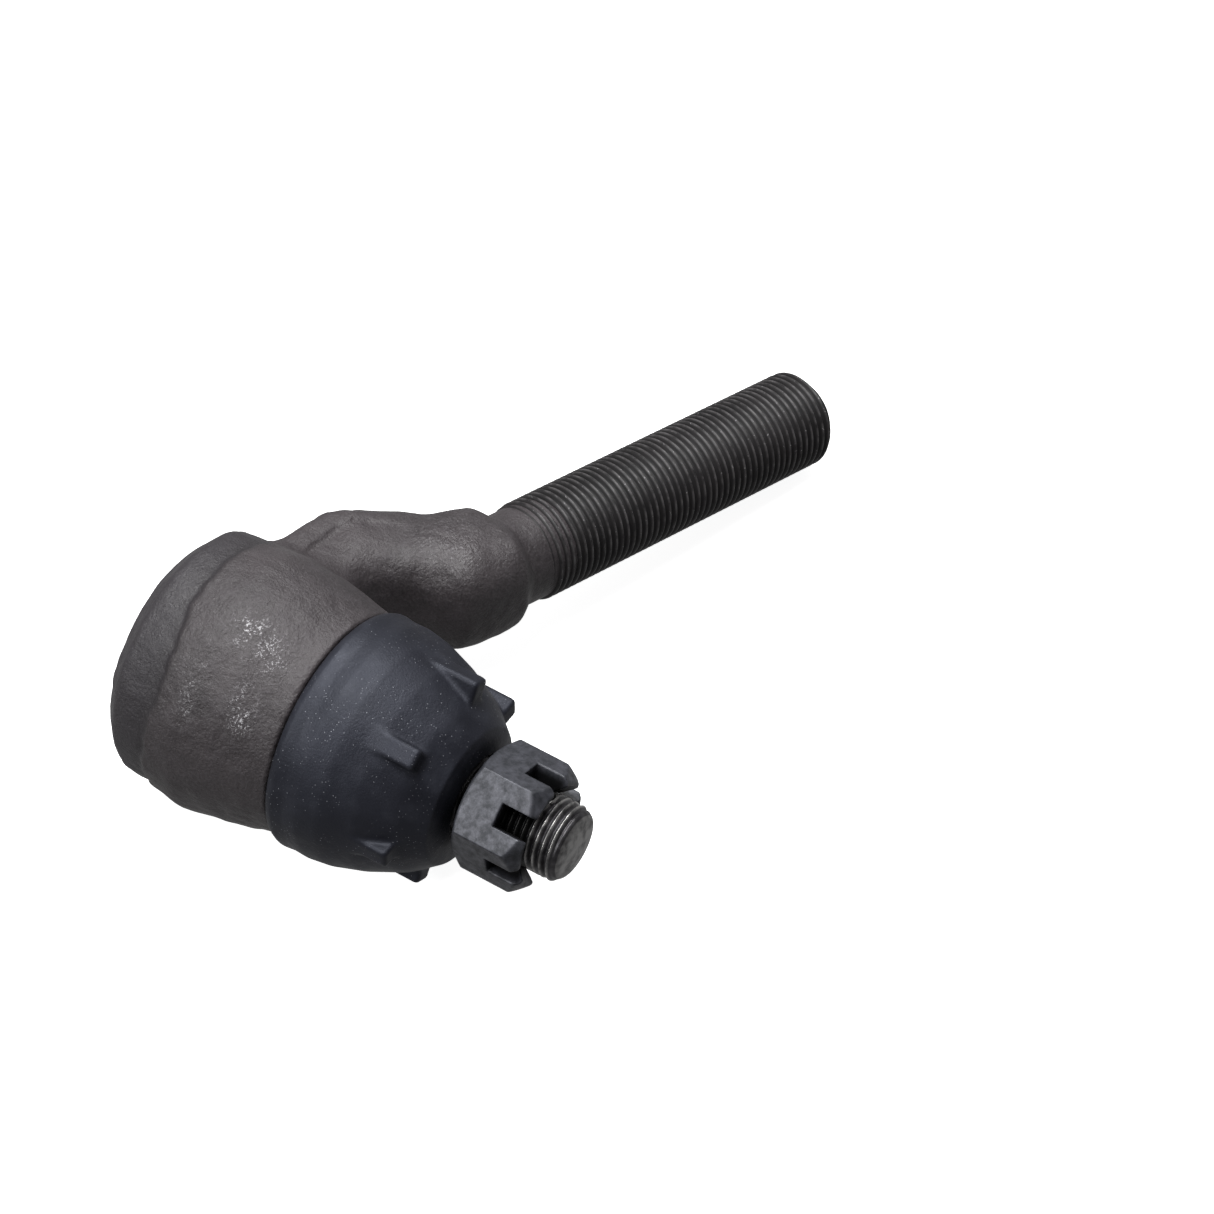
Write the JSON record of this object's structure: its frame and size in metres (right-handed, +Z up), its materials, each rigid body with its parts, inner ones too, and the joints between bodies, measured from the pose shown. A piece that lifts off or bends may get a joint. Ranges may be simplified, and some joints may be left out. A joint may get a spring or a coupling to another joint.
{
  "type": "tie rod end",
  "caption": "Tie rod end: forged socket with a cranked arm and long threaded shank, and a swivelling ball stud with a rubber boot and slotted nut.",
  "frame": {"origin": "on the floor under the middle of the part's box, with the part lying on its side as it rests by itself", "axes": "+X along the shank away from the socket, +Z up, and the stud points mostly towards -Y"},
  "size_m": [0.15, 0.0808, 0.047],
  "materials": {
    "forging": "dark oiled forging scale with a fine grain, worn brighter on high spots",
    "stud_steel": "dark phosphated steel, bright on the thread crests",
    "nut_steel": "dark grey phosphate, mottled",
    "bearing_steel": "ground hardened steel",
    "spring_steel": "oiled spring steel",
    "cover_steel": "pressed steel plate, oiled",
    "fitting_plating": "yellow zinc plating",
    "boot_rubber": "satin moulded rubber with fine dust"
  },
  "bodies": {
    "housing": {"forged_housing": "forging", "bearing_seat": "bearing_steel", "cover_plate": "cover_steel", "grease_fitting": "fitting_plating", "preload_spring": "spring_steel", "fitting_check_spring": "spring_steel"},
    "boot": {"dust_boot": "boot_rubber"},
    "bearing": {"ball_bearing": "bearing_steel"},
    "stud": {"ball_stud": "stud_steel"},
    "nut": {"castle_nut": "nut_steel"},
    "pressure_cup": {"pressure_cup": "bearing_steel"},
    "check_ball": {"fitting_check_ball": "spring_steel"}
  },
  "joints": [
    {"name": "socket_swivel", "type": "hinge", "parent": "housing", "child": "boot", "pos_m": [-0.04972, 0.01693, 0.02297], "axis": [0.2383, -0.964, -0.1175], "continuous": true},
    {"name": "stud_tilt", "type": "hinge", "parent": "boot", "child": "bearing", "pos_m": [-0.04972, 0.01693, 0.02297], "axis": [-0.1158, 0.092, -0.989], "range_deg": [-20, 20], "deforming": ["dust_boot"]},
    {"name": "stud_spin", "type": "hinge", "parent": "bearing", "child": "stud", "pos_m": [-0.04972, 0.01693, 0.02297], "axis": [0.2383, -0.964, -0.1175], "continuous": true},
    {"name": "nut_travel", "type": "slide", "parent": "stud", "child": "nut", "axis": [0.2383, -0.964, -0.1175], "range_m": [0, 0.018]},
    {"name": "pressure_cup_travel", "type": "slide", "parent": "housing", "child": "pressure_cup", "axis": [-0.2383, 0.964, 0.1175], "range_m": [0, 0.001], "stiffness_N_per_m": 20000, "deforming": ["preload_spring"]},
    {"name": "check_ball_travel", "type": "slide", "parent": "housing", "child": "check_ball", "axis": [0.2383, -0.964, -0.1175], "range_m": [0, 0.0008], "stiffness_N_per_m": 300, "deforming": ["fitting_check_spring"]}
  ]
}
